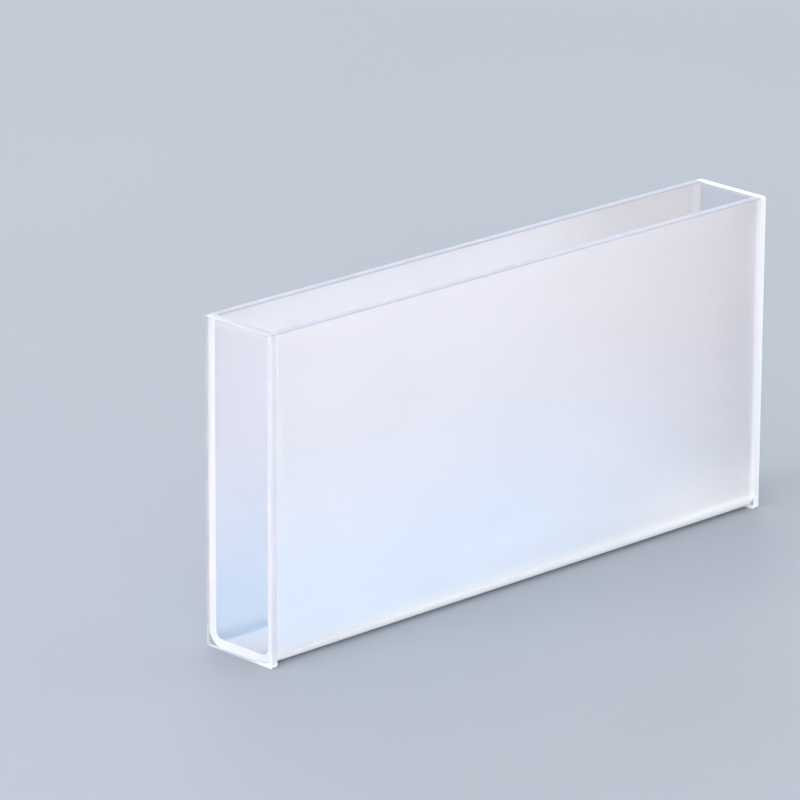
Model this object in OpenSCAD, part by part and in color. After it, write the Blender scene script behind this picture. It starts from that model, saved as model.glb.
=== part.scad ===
// Long path glass cell for a light beam: an open trough of ground glass,
// closed at both ends by clear polished windows fused over its ends.
// Units are millimetres. +X runs along the light path, +Z is up, and the
// origin is the middle of the base, on the surface that the cell stands on.

/* [Cell] */
// Inside length between the two windows, which is the light path
path_l = 90; // [10:1:100]
// Outside width, the size that a cell holder grips
cell_w = 12.5; // [10:0.1:20]
// Outside height
cell_h = 45; // [20:1:60]

/* [Channel] */
// Thickness of the two side walls
wall_t = 1.3; // [0.8:0.05:2]
// Thickness of the floor
floor_t = 1.3; // [0.8:0.05:3]
// Outside radius where the side walls turn into the floor
outer_r = 2.4; // [0.5:0.1:3.5]
// Smallest inside radius where the side walls turn into the floor
inner_r = 1.1; // [0.4:0.1:2.5]
// Small bevel along both edges of each side wall's rim
rim_bevel = 0.15; // [0.05:0.05:0.35]

/* [Windows] */
// Thickness of each end window
window_t = 1.05; // [0.8:0.05:3]
// Ground bevel around the outer face of a window
window_bevel = 0.1; // [0.1:0.05:0.6]
// Radius of the four corners of a window
window_corner_r = 0.4; // [0.2:0.1:1.5]

/* [Hidden] */
$fn = 96;
// The bend keeps at least the wall's thickness all the way round.
bend_r = max(inner_r, outer_r - min(wall_t, floor_t));
gap_w = cell_w - 2 * wall_t;
// How far a cutting shape runs past what it cuts
cut = 1;

// A rectangle standing on the base line, with round corners of radius r.
module rounded_rect(w, h, r) {
    translate([-w / 2, r]) square([w, h - 2 * r]);
    translate([-w / 2 + r, 0]) square([w - 2 * r, h]);
    for (x = [-w / 2 + r, w / 2 - r], y = [r, h - r])
        translate([x, y]) circle(r);
}

// A trough's outline that stands on y0, with round lower corners of radius r.
// Its sides lean out by flare just below top, or in if flare is negative,
// and then go straight up by over, if that is given.
module trough_outline(w, y0, r, top, flare, over = 0) {
    translate([-w / 2 + r, y0]) square([w - 2 * r, 2 * r]);
    for (x = [-w / 2 + r, w / 2 - r])
        translate([x, y0 + r]) circle(r);
    polygon(concat(
        [[-w / 2, y0 + r], [w / 2, y0 + r],
         [w / 2, top - abs(flare)], [w / 2 + flare, top]],
        over > 0 ? [[w / 2 + flare, top + over],
                    [-w / 2 - flare, top + over]] : [],
        [[-w / 2 - flare, top], [-w / 2, top - abs(flare)]]
    ));
}

// The cross-section of the channel: one bent wall, open at the top.
module channel_profile() {
    difference() {
        trough_outline(cell_w, 0, outer_r, cell_h, -rim_bevel);
        trough_outline(gap_w, floor_t, bend_r, cell_h, rim_bevel, cut);
    }
}

// An outline in Y and Z, run along X from x0 over length l.
module along_x(x0, l) {
    translate([x0, 0, 0]) rotate([90, 0, 90])
        linear_extrude(height = l) children();
}

// An outline in X and Z, run along Y from y0 over length l.
module along_y(y0, l) {
    translate([0, y0 + l, 0]) rotate([90, 0, 0])
        linear_extrude(height = l) children();
}

// The corner that a bevel of size c takes away.
module bevel_section(c) {
    polygon([[-cut, -cut], [c + cut, -cut], [-cut, c + cut]]);
}

// One end window, its outer face on x = 0 and its inner face on x = window_t.
module window_plate() {
    difference() {
        along_x(0, window_t)
            rounded_rect(cell_w, cell_h, window_corner_r);
        // upright edges of the outer face
        for (side = [0, 1])
            mirror([0, side, 0])
                translate([0, -cell_w / 2, -cut])
                    linear_extrude(height = cell_h + 2 * cut)
                        bevel_section(window_bevel);
        // bottom and top edges of the outer face
        for (end = [0, 1])
            translate([0, 0, end * cell_h]) mirror([0, 0, end])
                along_y(-cell_w / 2 - cut, cell_w + 2 * cut)
                    bevel_section(window_bevel);
    }
}

// The body of ground glass: two side walls and a floor, bent from one piece.
module channel() {
    color([0.90, 0.92, 0.96])
        along_x(-path_l / 2, path_l) channel_profile();
}

// The clear window on the -X end.
module left_window() {
    color([0.72, 0.85, 0.95])
        translate([-path_l / 2 - window_t, 0, 0]) window_plate();
}

// The clear window on the +X end.
module right_window() {
    color([0.72, 0.85, 0.95])
        mirror([1, 0, 0])
            translate([-path_l / 2 - window_t, 0, 0]) window_plate();
}

channel();
left_window();
right_window();
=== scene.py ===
import math

import bmesh
import bpy
from mathutils import Matrix, Vector


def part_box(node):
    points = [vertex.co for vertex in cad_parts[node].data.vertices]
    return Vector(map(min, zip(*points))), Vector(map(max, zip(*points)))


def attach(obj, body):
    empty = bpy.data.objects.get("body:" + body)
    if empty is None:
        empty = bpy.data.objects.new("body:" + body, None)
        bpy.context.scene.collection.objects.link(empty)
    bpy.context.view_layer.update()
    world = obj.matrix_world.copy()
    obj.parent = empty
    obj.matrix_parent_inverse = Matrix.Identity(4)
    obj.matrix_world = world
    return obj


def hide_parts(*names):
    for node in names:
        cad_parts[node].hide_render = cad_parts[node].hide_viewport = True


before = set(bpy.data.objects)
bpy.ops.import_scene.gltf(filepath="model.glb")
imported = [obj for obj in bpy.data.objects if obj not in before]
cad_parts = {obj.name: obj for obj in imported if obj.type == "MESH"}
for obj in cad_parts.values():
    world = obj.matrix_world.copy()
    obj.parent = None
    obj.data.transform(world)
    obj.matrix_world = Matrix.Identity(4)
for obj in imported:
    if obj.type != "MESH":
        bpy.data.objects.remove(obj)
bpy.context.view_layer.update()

scene = bpy.context.scene

# ------------------------------------------------------------------ sizes
# All in metres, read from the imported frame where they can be.
ch_lo, ch_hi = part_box("channel")
lw_lo, lw_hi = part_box("left_window")
rw_lo, rw_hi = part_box("right_window")

HALF_L = ch_hi.x                     # the channel's own half length
HALF_W = ch_hi.y
HEIGHT = ch_hi.z
WIN_T = lw_hi.x - lw_lo.x
WALL = 0.0013
FLOOR = 0.0013
OUTER_R = 0.0024
INNER_R = OUTER_R - WALL
RIM_BEVEL = 0.00015
WIN_BEVEL = 0.0001
WIN_R = 0.0004
SEAM = 0.000012                      # hair gap of the fused seam, kept open so that glass faces don't coincide


# ------------------------------------------------------------------ meshes
def new_object(name, bm, materials, smooth_deg=None):
    bmesh.ops.recalc_face_normals(bm, faces=bm.faces)
    me = bpy.data.meshes.new(name)
    bm.to_mesh(me)
    bm.free()
    for m in materials:
        me.materials.append(m)
    ob = bpy.data.objects.new(name, me)
    scene.collection.objects.link(ob)
    if smooth_deg is not None:
        me.shade_smooth()
        me.set_sharp_from_angle(angle=math.radians(smooth_deg))
    return ob


def channel_stations():
    """Matching points of the outer and the inner outline, (y, z), from the front rim round to the back rim."""
    outer, inner = [], []
    arc = 16
    gap = HALF_W - WALL
    rows = 30
    # front wall (-Y), from the rim down
    outer.append((-HALF_W + RIM_BEVEL, HEIGHT)); inner.append((-gap - RIM_BEVEL, HEIGHT))
    for i in range(rows + 1):
        t = i / rows
        z = (HEIGHT - RIM_BEVEL) + (OUTER_R - (HEIGHT - RIM_BEVEL)) * t
        outer.append((-HALF_W, z)); inner.append((-gap, z))
    for i in range(1, arc + 1):
        a = math.pi + (math.pi / 2) * i / arc
        c = (-HALF_W + OUTER_R, OUTER_R)
        outer.append((c[0] + OUTER_R * math.cos(a), c[1] + OUTER_R * math.sin(a)))
        inner.append((c[0] + INNER_R * math.cos(a), c[1] + INNER_R * math.sin(a)))
    for i in range(1, 8):
        y = (-HALF_W + OUTER_R) * (1 - 2 * i / 8)
        outer.append((y, 0.0)); inner.append((y, FLOOR))
    n = len(outer)
    # the other half mirrors the first
    for i in range(arc + 1):
        a = 1.5 * math.pi + (math.pi / 2) * i / arc
        c = (HALF_W - OUTER_R, OUTER_R)
        outer.append((c[0] + OUTER_R * math.cos(a), c[1] + OUTER_R * math.sin(a)))
        inner.append((c[0] + INNER_R * math.cos(a), c[1] + INNER_R * math.sin(a)))
    for i in range(1, rows + 1):
        t = i / rows
        z = OUTER_R + ((HEIGHT - RIM_BEVEL) - OUTER_R) * t
        outer.append((HALF_W, z)); inner.append((gap, z))
    outer.append((HALF_W - RIM_BEVEL, HEIGHT)); inner.append((gap + RIM_BEVEL, HEIGHT))
    return outer, inner


def make_channel(materials):
    """Material slots: 0 ground outside, 1 inside, 2 rim, 3 end faces."""
    outer, inner = channel_stations()
    half = HALF_L - SEAM
    cuts = 60
    xs = [-half + 2 * half * i / cuts for i in range(cuts + 1)]
    bm = bmesh.new()
    O = [[bm.verts.new((x, y, z)) for (y, z) in outer] for x in xs]
    I = [[bm.verts.new((x, y, z)) for (y, z) in inner] for x in xs]
    n = len(outer)
    for i in range(cuts):
        for j in range(n - 1):
            rim = j in (0, n - 2)
            f = bm.faces.new((O[i][j], O[i + 1][j], O[i + 1][j + 1], O[i][j + 1]))
            f.material_index = 2 if rim else 0
            f = bm.faces.new((I[i][j + 1], I[i + 1][j + 1], I[i + 1][j], I[i][j]))
            f.material_index = 2 if rim else 1
        for j in (0, n - 1):
            f = bm.faces.new((O[i][j], I[i][j], I[i + 1][j], O[i + 1][j]) if j == 0 else
                             (I[i][j], O[i][j], O[i + 1][j], I[i + 1][j]))
            f.material_index = 2
    for i in (0, cuts):
        for j in range(n - 1):
            f = bm.faces.new((O[i][j], O[i][j + 1], I[i][j + 1], I[i][j]))
            f.material_index = 3
    return new_object("channel_glass", bm, materials, 35)


def plate_ring(w, h, r, inset, arc=6):
    """A round-cornered outline in (y, z), the plate's own less an inset all round."""
    pts = []
    r2 = max(r - inset * 0.4, 0.00012)
    y0, z0, z1 = w / 2 - inset, inset, h - inset
    for cy, cz, a0 in ((y0 - r2, z0 + r2, -90), (y0 - r2, z1 - r2, 0),
                       (-y0 + r2, z1 - r2, 90), (-y0 + r2, z0 + r2, 180)):
        for i in range(arc + 1):
            a = math.radians(a0 + 90 * i / arc)
            pts.append((cy + r2 * math.cos(a), cz + r2 * math.sin(a)))
    return pts


def make_window(name, side, materials):
    """side -1 is the left end. Material slots: 0 polished faces, 1 ground edges."""
    w, h = 2 * HALF_W, HEIGHT
    inner_x, outer_x = side * HALF_L, side * (HALF_L + WIN_T)
    step = 0.00006                      # the inner edge is broken by a hair
    rings = [
        (inner_x, plate_ring(w, h, WIN_R, step)),
        (inner_x + side * step, plate_ring(w, h, WIN_R, 0.0)),
        (outer_x - side * WIN_BEVEL, plate_ring(w, h, WIN_R, 0.0)),
        (outer_x - side * WIN_BEVEL * 0.2, plate_ring(w, h, WIN_R, WIN_BEVEL * 0.8)),
        (outer_x, plate_ring(w, h, WIN_R, WIN_BEVEL * 1.05)),
    ]
    bm = bmesh.new()
    V = [[bm.verts.new((x, y, z)) for (y, z) in ring] for x, ring in rings]
    n = len(V[0])
    for k in range(len(V) - 1):
        for i in range(n):
            j = (i + 1) % n
            f = bm.faces.new((V[k][i], V[k][j], V[k + 1][j], V[k + 1][i]))
            f.material_index = 1
    f = bm.faces.new(V[0]); f.material_index = 0
    f = bm.faces.new(V[-1]); f.material_index = 0
    ob = new_object(name, bm, materials, 30)
    for p in ob.data.polygons:
        if p.material_index == 0:
            p.use_smooth = False        # the polished faces are dead flat
    return ob


# ------------------------------------------------------------------ node helpers
def material(name):
    m = bpy.data.materials.new(name)
    m.use_nodes = True
    nt = m.node_tree
    nt.nodes.clear()
    out = nt.nodes.new("ShaderNodeOutputMaterial")
    bsdf = nt.nodes.new("ShaderNodeBsdfPrincipled")
    nt.links.new(bsdf.outputs["BSDF"], out.inputs["Surface"])
    return m, nt, bsdf


def node(nt, kind, **props):
    n = nt.nodes.new(kind)
    for k, v in props.items():
        if k.startswith("in_"):
            n.inputs[k[3:].replace("_", " ")].default_value = v
        else:
            setattr(n, k, v)
    return n


def ramp(nt, source, stops, interpolation="LINEAR"):
    """A colour ramp fed by source. stops are (place, (r, g, b)) or (place, grey)."""
    r = nt.nodes.new("ShaderNodeValToRGB")
    r.color_ramp.interpolation = interpolation
    els = r.color_ramp.elements
    while len(els) < len(stops):
        els.new(0.5)
    for e, (p, c) in zip(els, stops):
        e.position = p
        c = (c, c, c) if isinstance(c, (int, float)) else c
        e.color = (c[0], c[1], c[2], 1)
    nt.links.new(source, r.inputs[0])
    return r.outputs[0]


def math_node(nt, op, a, b=None, c=None, clamp=False):
    n = nt.nodes.new("ShaderNodeMath")
    n.operation = op
    n.use_clamp = clamp
    for i, v in enumerate((a, b, c)):
        if v is None:
            continue
        if isinstance(v, (int, float)):
            n.inputs[i].default_value = v
        else:
            nt.links.new(v, n.inputs[i])
    return n.outputs[0]


def smooth(nt, value, lo, hi, out_lo=0.0, out_hi=1.0):
    n = nt.nodes.new("ShaderNodeMapRange")
    n.interpolation_type = "SMOOTHSTEP"
    nt.links.new(value, n.inputs["Value"])
    n.inputs["From Min"].default_value = lo
    n.inputs["From Max"].default_value = hi
    n.inputs["To Min"].default_value = out_lo
    n.inputs["To Max"].default_value = out_hi
    return n.outputs["Result"]


def mix_colour(nt, fac, a, b, blend="MIX"):
    n = nt.nodes.new("ShaderNodeMix")
    n.data_type = "RGBA"
    n.blend_type = blend
    for i, v in ((0, fac), (6, a), (7, b)):
        if isinstance(v, (int, float)):
            n.inputs[i].default_value = v
        elif isinstance(v, tuple):
            n.inputs[i].default_value = (*v, 1)
        else:
            nt.links.new(v, n.inputs[i])
    return n.outputs[2]


def place(nt):
    """Object coordinates, in metres, and their three parts."""
    tc = nt.nodes.new("ShaderNodeTexCoord")
    sep = nt.nodes.new("ShaderNodeSeparateXYZ")
    nt.links.new(tc.outputs["Object"], sep.inputs[0])
    return tc.outputs["Object"], sep.outputs[0], sep.outputs[1], sep.outputs[2]


def noise(nt, vector, scale, detail=3.0, rough=0.5, stretch=None, distortion=0.0):
    if stretch is not None:
        mp = nt.nodes.new("ShaderNodeMapping")
        mp.inputs["Scale"].default_value = stretch
        nt.links.new(vector, mp.inputs["Vector"])
        vector = mp.outputs["Vector"]
    n = nt.nodes.new("ShaderNodeTexNoise")
    n.inputs["Scale"].default_value = scale
    n.inputs["Detail"].default_value = detail
    n.inputs["Roughness"].default_value = rough
    n.inputs["Distortion"].default_value = distortion
    nt.links.new(vector, n.inputs["Vector"])
    return n.outputs["Fac"]


# ------------------------------------------------------------------ materials
def ground_glass(name, kind):
    """Fine-ground silica. kind: 'outside', 'inside', 'end' or 'rim'."""
    m, nt, bsdf = material(name)
    vec, x, y, z = place(nt)
    ax = math_node(nt, "ABSOLUTE", x)

    # what differs from place to place
    cloud = noise(nt, vec, 55.0, 3.0, 0.55)                              # soft clouds, about 18 mm
    mottle = noise(nt, vec, 420.0, 4.0, 0.6)                             # 2 mm unevenness of the grinding
    grain = noise(nt, vec, 9000.0, 2.0, 0.6)                             # the grain itself, 0.1 mm
    strokes = noise(nt, vec, 900.0, 3.0, 0.6, stretch=(0.08, 1.0, 1.0))  # faint long strokes along the trough

    # the last 0.75 mm at each end is smoothed by the fusing, with a faint line of painted shade beside it
    seam = smooth(nt, ax, HALF_L - 0.00085, HALF_L - 0.00065)
    painted_seam_shade = math_node(nt, "SUBTRACT", smooth(nt, ax, HALF_L - 0.0024, HALF_L - 0.0010), seam, clamp=True)
    # both show more at the far end, the painted shade almost only there
    seam = math_node(nt, "MULTIPLY", seam, smooth(nt, x, -0.02, 0.02, 0.55, 1.0))
    painted_seam_shade = math_node(nt, "MULTIPLY", painted_seam_shade, smooth(nt, x, -0.02, 0.02, 0.08, 1.0))
    # painted glow: the glass is painted whiter low down over the bend, and made less clear there
    low = smooth(nt, math_node(nt, "ADD", z, smooth(nt, x, -0.022, -0.044, 0.0, 0.0006)), 0.0037, 0.0009)
    painted_low_glow = smooth(nt, z, 0.0046, 0.0016)

    # painted light and shade: one ground glass is given a darker colour outside, a paler one inside and on the
    # ends, and a dark bluish one on the rim, to even out how the lamps fall on them
    base = {"outside": (0.890, 0.885, 0.905), "inside": (0.973, 0.963, 0.968),
            "end": (0.975, 0.970, 0.978), "rim": (0.46, 0.485, 0.575)}[kind]
    # painted reflection: a bluer tone low down, fading towards the far end
    painted_blue_tone = {"outside": (0.946, 0.962, 1.0), "inside": (0.878, 0.940, 1.0)}.get(kind, base)
    painted_blue_mix = math_node(nt, "MULTIPLY", smooth(nt, z, 0.034, 0.003), smooth(nt, x, 0.000, 0.044, 1.0, 0.35))
    shades = [tuple(min(1.0, c * k) for c in b) for k in (0.990, 1.004) for b in (base, painted_blue_tone)]
    dark = mix_colour(nt, painted_blue_mix, shades[0], shades[1])
    pale = mix_colour(nt, painted_blue_mix, shades[2], shades[3])
    colour = mix_colour(nt, smooth(nt, cloud, 0.3, 0.7), dark, pale)
    colour = mix_colour(nt, 0.05, colour, ramp(nt, mottle, [(0.35, 0.80), (0.65, 1.0)]), "MULTIPLY")
    colour = mix_colour(nt, 0.03, colour, ramp(nt, grain, [(0.3, 0.70), (0.7, 1.0)]), "MULTIPLY")
    if kind in ("outside", "inside"):
        # painted shade: the trough is painted a shade greyer towards its far end, most of all high up
        far = smooth(nt, x, -0.010, 0.050)
        far = math_node(nt, "MULTIPLY", far, smooth(nt, z, 0.006, 0.034, 0.2, 1.0))
        colour = mix_colour(nt, far, colour, (0.978, 0.963, 0.959), "MULTIPLY")
    if kind == "end":
        # painted shade: the front wall's end takes the most light and is painted a shade darker to offset it
        front = math_node(nt, "MULTIPLY", smooth(nt, y, -0.0045, -0.0052), smooth(nt, x, 0.02, -0.02))
        colour = mix_colour(nt, front, colour, (0.955, 0.960, 0.960), "MULTIPLY")
        colour = mix_colour(nt, smooth(nt, z, 0.0030, 0.0012), colour, (0.950, 0.975, 0.945))
    if kind in ("outside",):
        colour = mix_colour(nt, math_node(nt, "MULTIPLY", seam, 0.75), colour, (0.86, 0.88, 0.925))
        # painted shade: a grey line just inside the fused seam
        colour = mix_colour(nt, math_node(nt, "MULTIPLY", painted_seam_shade, 0.60), colour, (0.66, 0.68, 0.72))
        # painted glow: the bend is painted whiter, and higher up at the far end
        painted_glow = math_node(nt, "MULTIPLY", smooth(nt, x, 0.012, 0.034), smooth(nt, z, 0.0105, 0.0045))
        colour = mix_colour(nt, math_node(nt, "MULTIPLY", painted_glow, 0.65), colour, (1.0, 0.992, 0.995))
        # painted glow: whiter low down
        colour = mix_colour(nt, painted_low_glow, colour, (0.995, 0.998, 1.0))
    if kind == "outside":
        # and a shade darker in a narrow band under the rim
        colour = mix_colour(nt, smooth(nt, z, HEIGHT - 0.008, HEIGHT - 0.001), colour, (0.955, 0.945, 0.948), "MULTIPLY")
    if kind == "inside":
        # painted shade: the back wall's inside is painted darker high up towards the far end
        painted_far_shade = math_node(nt, "MULTIPLY", smooth(nt, x, 0.008, 0.036), smooth(nt, z, 0.034, 0.041))
        painted_far_shade = math_node(nt, "MULTIPLY", painted_far_shade, smooth(nt, y, -0.002, 0.002))
        # but for the last bit beside the far window
        painted_far_shade = math_node(nt, "MULTIPLY", painted_far_shade, smooth(nt, x, HALF_L - 0.0020, HALF_L - 0.0014, 1.0, 0.40))
        colour = mix_colour(nt, painted_far_shade, colour, (0.84, 0.825, 0.80), "MULTIPLY")
        # painted reflection: the inside of the bend is painted a darker blue, less on the front wall
        ay = math_node(nt, "ABSOLUTE", y)
        painted_blue_bend = math_node(nt, "MULTIPLY",
                         smooth(nt, ay, HALF_W - OUTER_R - 0.0009, HALF_W - OUTER_R - 0.0005),
                         smooth(nt, z, FLOOR + 0.5 * INNER_R + 0.0001, FLOOR + 0.3 * INNER_R - 0.0001))
        painted_blue_bend = math_node(nt, "MULTIPLY", painted_blue_bend, smooth(nt, y, -0.001, 0.001, 0.35, 1.0))
        # painted reflection: the back wall's inside is painted bluer low down at the near end
        painted_blue_near = math_node(nt, "MULTIPLY", smooth(nt, x, -0.026, -0.036), smooth(nt, z, 0.022, 0.004))
        painted_blue_near = math_node(nt, "MULTIPLY", painted_blue_near, smooth(nt, y, -0.001, 0.001))
        colour = mix_colour(nt, painted_blue_near, colour, (0.90, 0.98, 1.0), "MULTIPLY")
        # painted reflection: the floor's top inside is painted bluer
        under = smooth(nt, z, FLOOR + 0.0009, FLOOR + 0.0001)
        colour = mix_colour(nt, math_node(nt, "MULTIPLY", under, 0.8), colour, (0.935, 0.980, 1.0))
        # painted reflection: the darker blue in the bend
        colour = mix_colour(nt, math_node(nt, "MULTIPLY", painted_blue_bend, 0.75), colour, (0.60, 0.80, 1.0))
    nt.links.new(colour, bsdf.inputs["Base Color"])

    rough = {"outside": (0.78, 0.92), "inside": (0.78, 0.88), "end": (0.50, 0.62), "rim": (0.42, 0.54)}[kind]
    r = smooth(nt, mottle, 0.3, 0.7, *rough)
    if kind == "outside":
        r = math_node(nt, "MULTIPLY_ADD", seam, -0.10, r)
    nt.links.new(r, bsdf.inputs["Roughness"])

    through = {"outside": 0.88, "inside": 0.88, "end": 0.15, "rim": 0.40}[kind]
    t = smooth(nt, cloud, 0.3, 0.7, through + 0.03, through - 0.03)
    if kind == "outside":
        t = math_node(nt, "MULTIPLY_ADD", seam, -0.25, t)
        t = math_node(nt, "MULTIPLY_ADD", painted_glow, -0.22, t)
        t = math_node(nt, "MULTIPLY_ADD", low, -0.85, t, clamp=True)
    if kind == "inside":
        flat = math_node(nt, "MULTIPLY", under, smooth(nt, ay, 0.0037, 0.0031))
        t = math_node(nt, "MULTIPLY_ADD", flat, -0.55, t, clamp=True)
    nt.links.new(t, bsdf.inputs["Transmission Weight"])
    bsdf.inputs["IOR"].default_value = 1.46

    # relief: grain, unevenness and strokes
    height = math_node(nt, "MULTIPLY_ADD", mottle, 0.5, grain)
    height = math_node(nt, "MULTIPLY_ADD", strokes, 0.35, height)
    bump = nt.nodes.new("ShaderNodeBump")
    bump.inputs["Strength"].default_value = {"outside": 0.22, "inside": 0.08, "end": 0.22, "rim": 0.05}[kind]
    bump.inputs["Distance"].default_value = 0.00002
    nt.links.new(height, bump.inputs["Height"])
    nt.links.new(bump.outputs["Normal"], bsdf.inputs["Normal"])
    return m


def polished_glass(name):
    """The windows' clear faces: polished, with the faintest waviness and a few hairlines."""
    m, nt, bsdf = material(name)
    vec, x, y, z = place(nt)
    # the polish rolls off into the ground edge along the top
    roll = smooth(nt, z, HEIGHT - 0.00052, HEIGHT - 0.00040, 0.0, 0.07)
    # the near window's lower front corner, past the trough's own round corner, is left ground
    dy = math_node(nt, "MINIMUM", math_node(nt, "ADD", y, HALF_W - OUTER_R + 0.00057), 0.0)
    dz = math_node(nt, "MINIMUM", math_node(nt, "SUBTRACT", z, OUTER_R + 0.00026), 0.0)
    reach = math_node(nt, "SQRT", math_node(nt, "ADD", math_node(nt, "MULTIPLY", dy, dy), math_node(nt, "MULTIPLY", dz, dz)))
    corner = math_node(nt, "MULTIPLY", smooth(nt, reach, OUTER_R - 0.00022, OUTER_R - 0.00008, 0.0, 0.92),
                       math_node(nt, "MULTIPLY", smooth(nt, x, -HALF_L - 0.0004, -HALF_L - 0.0006),
                                 smooth(nt, y, -0.0026, -0.0048)))
    # at the far end the ground edge comes a little way up the face
    far = smooth(nt, x, -0.02, 0.02)
    foot = math_node(nt, "MULTIPLY", far, smooth(nt, z, 0.00075, 0.00055, 0.0, 0.85))
    matt = math_node(nt, "MAXIMUM", corner, foot)
    # painted light and shade: the ground patches are painted darker on the near window than on the far one
    ground = mix_colour(nt, far, (0.63, 0.65, 0.69), (0.80, 0.82, 0.86))
    # painted reflection: the clear faces are tinted bluer low down
    tint = mix_colour(nt, smooth(nt, z, 0.020, 0.042), (0.964, 0.957, 0.998), (0.962, 0.955, 0.977))
    nt.links.new(mix_colour(nt, matt, tint, ground), bsdf.inputs["Base Color"])
    nt.links.new(math_node(nt, "SUBTRACT", 1.0, math_node(nt, "MAXIMUM", roll, matt)), bsdf.inputs["Transmission Weight"])
    bsdf.inputs["Roughness"].default_value = 0.02
    bsdf.inputs["IOR"].default_value = 1.46
    wave = noise(nt, vec, 60.0, 1.0, 0.4)
    hair = noise(nt, vec, 1600.0, 2.0, 0.5, stretch=(1.0, 0.12, 1.0))
    height = math_node(nt, "MULTIPLY_ADD", hair, 0.04, wave)
    bump = nt.nodes.new("ShaderNodeBump")
    bump.inputs["Strength"].default_value = 0.04
    bump.inputs["Distance"].default_value = 0.00005
    nt.links.new(height, bump.inputs["Height"])
    nt.links.new(bump.outputs["Normal"], bsdf.inputs["Normal"])
    return m


def ground_edge(name):
    """The windows' ground rim: bright matt white."""
    m, nt, bsdf = material(name)
    vec, x, y, z = place(nt)
    mottle = noise(nt, vec, 700.0, 4.0, 0.6)
    grain = noise(nt, vec, 9000.0, 2.0, 0.6)
    # painted light and shade: the near window's edges are painted darker, the far window's paler
    near = ramp(nt, mottle, [(0.3, (0.725, 0.735, 0.805)), (0.7, (0.760, 0.770, 0.835))])
    far = ramp(nt, mottle, [(0.3, (0.935, 0.938, 0.958)), (0.7, (0.955, 0.958, 0.975))])
    colour = mix_colour(nt, smooth(nt, x, -0.02, 0.02), near, far)
    # painted glow: the back edge and the outermost corner are painted the whitest
    white = math_node(nt, "MAXIMUM", smooth(nt, y, -0.0055, 0.0055),
                      smooth(nt, x, HALF_L + WIN_T - 0.00052, HALF_L + WIN_T - 0.00040))
    colour = mix_colour(nt, white, colour, (0.995, 0.996, 1.0))
    colour = mix_colour(nt, 0.08, colour, ramp(nt, grain, [(0.3, 0.75), (0.7, 1.0)]), "MULTIPLY")
    # darker along the near window's outer edge at the front
    brow = math_node(nt, "MULTIPLY", smooth(nt, x, -HALF_L - WIN_T + 0.00013, -HALF_L - WIN_T + 0.00009), smooth(nt, y, 0.004, -0.004))
    colour = mix_colour(nt, brow, colour, (0.76, 0.77, 0.80), "MULTIPLY")
    # painted shade: the near window's upper face is painted darker than the sides
    up = math_node(nt, "MULTIPLY", smooth(nt, z, HEIGHT - 0.00026, HEIGHT - 0.00014), smooth(nt, x, 0.02, -0.02))
    # painted glow: the lowest edge is painted whiter
    down = smooth(nt, z, 0.0008, 0.0004)
    colour = mix_colour(nt, math_node(nt, "MULTIPLY", up, 0.9), colour, (0.50, 0.52, 0.58))
    colour = mix_colour(nt, math_node(nt, "MULTIPLY", down, 0.9), colour, (0.985, 0.988, 0.995))
    nt.links.new(colour, bsdf.inputs["Base Color"])
    nt.links.new(smooth(nt, mottle, 0.3, 0.7, 0.52, 0.68), bsdf.inputs["Roughness"])
    nt.links.new(smooth(nt, mottle, 0.3, 0.7, 0.22, 0.14), bsdf.inputs["Transmission Weight"])
    bsdf.inputs["IOR"].default_value = 1.46
    bsdf.inputs["Specular IOR Level"].default_value = 0.3
    height = math_node(nt, "MULTIPLY_ADD", mottle, 0.8, grain)
    bump = nt.nodes.new("ShaderNodeBump")
    bump.inputs["Strength"].default_value = 0.25
    bump.inputs["Distance"].default_value = 0.00002
    nt.links.new(height, bump.inputs["Height"])
    nt.links.new(bump.outputs["Normal"], bsdf.inputs["Normal"])
    return m


outside = ground_glass("ground_outside", "outside")
inside = ground_glass("ground_inside", "inside")
end_face = ground_glass("ground_end", "end")
rim = ground_glass("ground_rim", "rim")
clear = polished_glass("clear_polished")
edge = ground_edge("ground_window_edge")

channel = make_channel([outside, inside, rim, end_face])
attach(channel, "root"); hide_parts("channel")
left = make_window("left_window_glass", -1, [clear, edge])
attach(left, "root"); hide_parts("left_window")
right = make_window("right_window_glass", 1, [clear, edge])
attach(right, "root"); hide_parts("right_window")


# ------------------------------------------------------------------ floor and light
def pale_floor():
    m, nt, bsdf = material("floor_pale")
    vec, x, y, z = place(nt)
    soft = noise(nt, vec, 6.0, 2.0, 0.5)
    nt.links.new(ramp(nt, soft, [(0.3, (0.338, 0.371, 0.419)), (0.7, (0.354, 0.388, 0.435))]), bsdf.inputs["Base Color"])
    bsdf.inputs["Roughness"].default_value = 0.7
    bsdf.inputs["Specular IOR Level"].default_value = 0.2
    bpy.ops.mesh.primitive_plane_add(size=8.0, location=(0, 0, -0.00002))
    ob = bpy.context.object
    ob.name = "floor"
    ob.data.materials.append(m)
    return ob


floor = pale_floor()

world = bpy.data.worlds.new("studio")
scene.world = world
world.use_nodes = True
world.node_tree.nodes["Background"].inputs[0].default_value = (0.97, 0.975, 1.0, 1)
world.node_tree.nodes["Background"].inputs[1].default_value = 0.81


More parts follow.
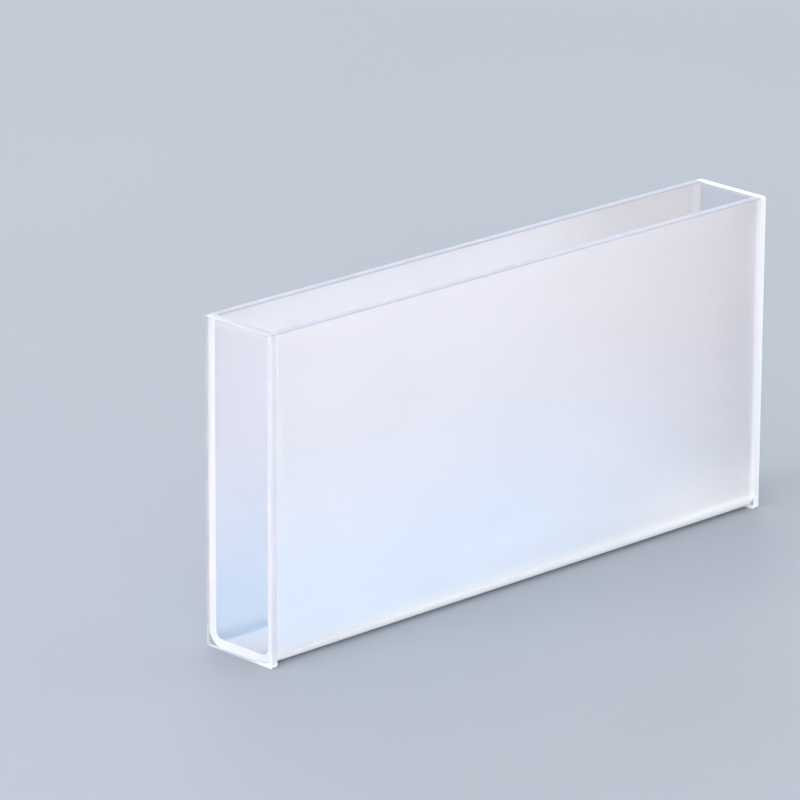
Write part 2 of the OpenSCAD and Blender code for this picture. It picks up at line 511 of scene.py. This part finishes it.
def area(name, place_m, target, size, power, colour=(1, 1, 1)):
    data = bpy.data.lights.new(name, "AREA")
    data.shape = "RECTANGLE"
    data.size, data.size_y = size
    data.energy = power
    data.color = colour
    ob = bpy.data.objects.new(name, data)
    scene.collection.objects.link(ob)
    ob.location = place_m
    ob.rotation_euler = (Vector(target) - Vector(place_m)).to_track_quat("-Z", "Y").to_euler()
    return ob


def sun(name, source, angle, strength, colour=(1, 1, 1)):
    """A very large, far softbox: even light from the direction of source."""
    data = bpy.data.lights.new(name, "SUN")
    data.energy = strength
    data.angle = math.radians(angle)
    data.color = colour
    ob = bpy.data.objects.new(name, data)
    scene.collection.objects.link(ob)
    ob.rotation_euler = (-Vector(source)).to_track_quat("-Z", "Y").to_euler()
    return ob


key = area("front_left", (-0.45, -0.35, 0.055), (-0.03, 0, 0.02), (0.30, 0.10), 1.73, (0.98, 0.98, 1.0))
key.visible_camera = False
sun("overhead", (0.0, 0.0, 1.0), 90, 0.66, (0.99, 0.98, 1.0))
sun("front_high", (-0.55, -0.60, 0.80), 50, 0.40, (0.98, 0.98, 1.0))
sun("back", (-0.37, 0.90, 0.25), 50, 0.48, (0.90, 0.93, 1.0))
sun("back_right", (0.50, 0.85, 0.20), 50, 1.23, (0.90, 0.93, 1.0))
sun("left_end", (-1.0, 0.15, 0.30), 40, 2.12, (0.97, 0.975, 1.0))
sun("right_end", (1.0, -0.35, 0.30), 30, 0.28, (1.0, 0.99, 0.99))

# ------------------------------------------------------------------ camera
RIGHT = Vector((0.7192029401508689, -0.6947856994583688, 0.0044679644684102095))
DOWN = Vector((-0.2136001386591794, -0.22721681818672218, -0.9501302533326058))
FORWARD = Vector((0.6611521093085351, 0.6823821138931232, -0.3118213254343385))
cam_data = bpy.data.cameras.new("camera")
cam_data.sensor_width = 36.0
cam_data.lens = 265.631
cam_data.clip_start = 0.01
cam_data.clip_end = 20.0
cam = bpy.data.objects.new("camera", cam_data)
scene.collection.objects.link(cam)
rot = Matrix((RIGHT, -DOWN, -FORWARD)).transposed()
cam.matrix_world = Matrix.Translation((-0.52817977, -0.52727844, 0.26946925)) @ rot.to_4x4()
scene.camera = cam

scene.view_settings.view_transform = "Standard"
scene.view_settings.look = "None"
scene.view_settings.exposure = 0.0
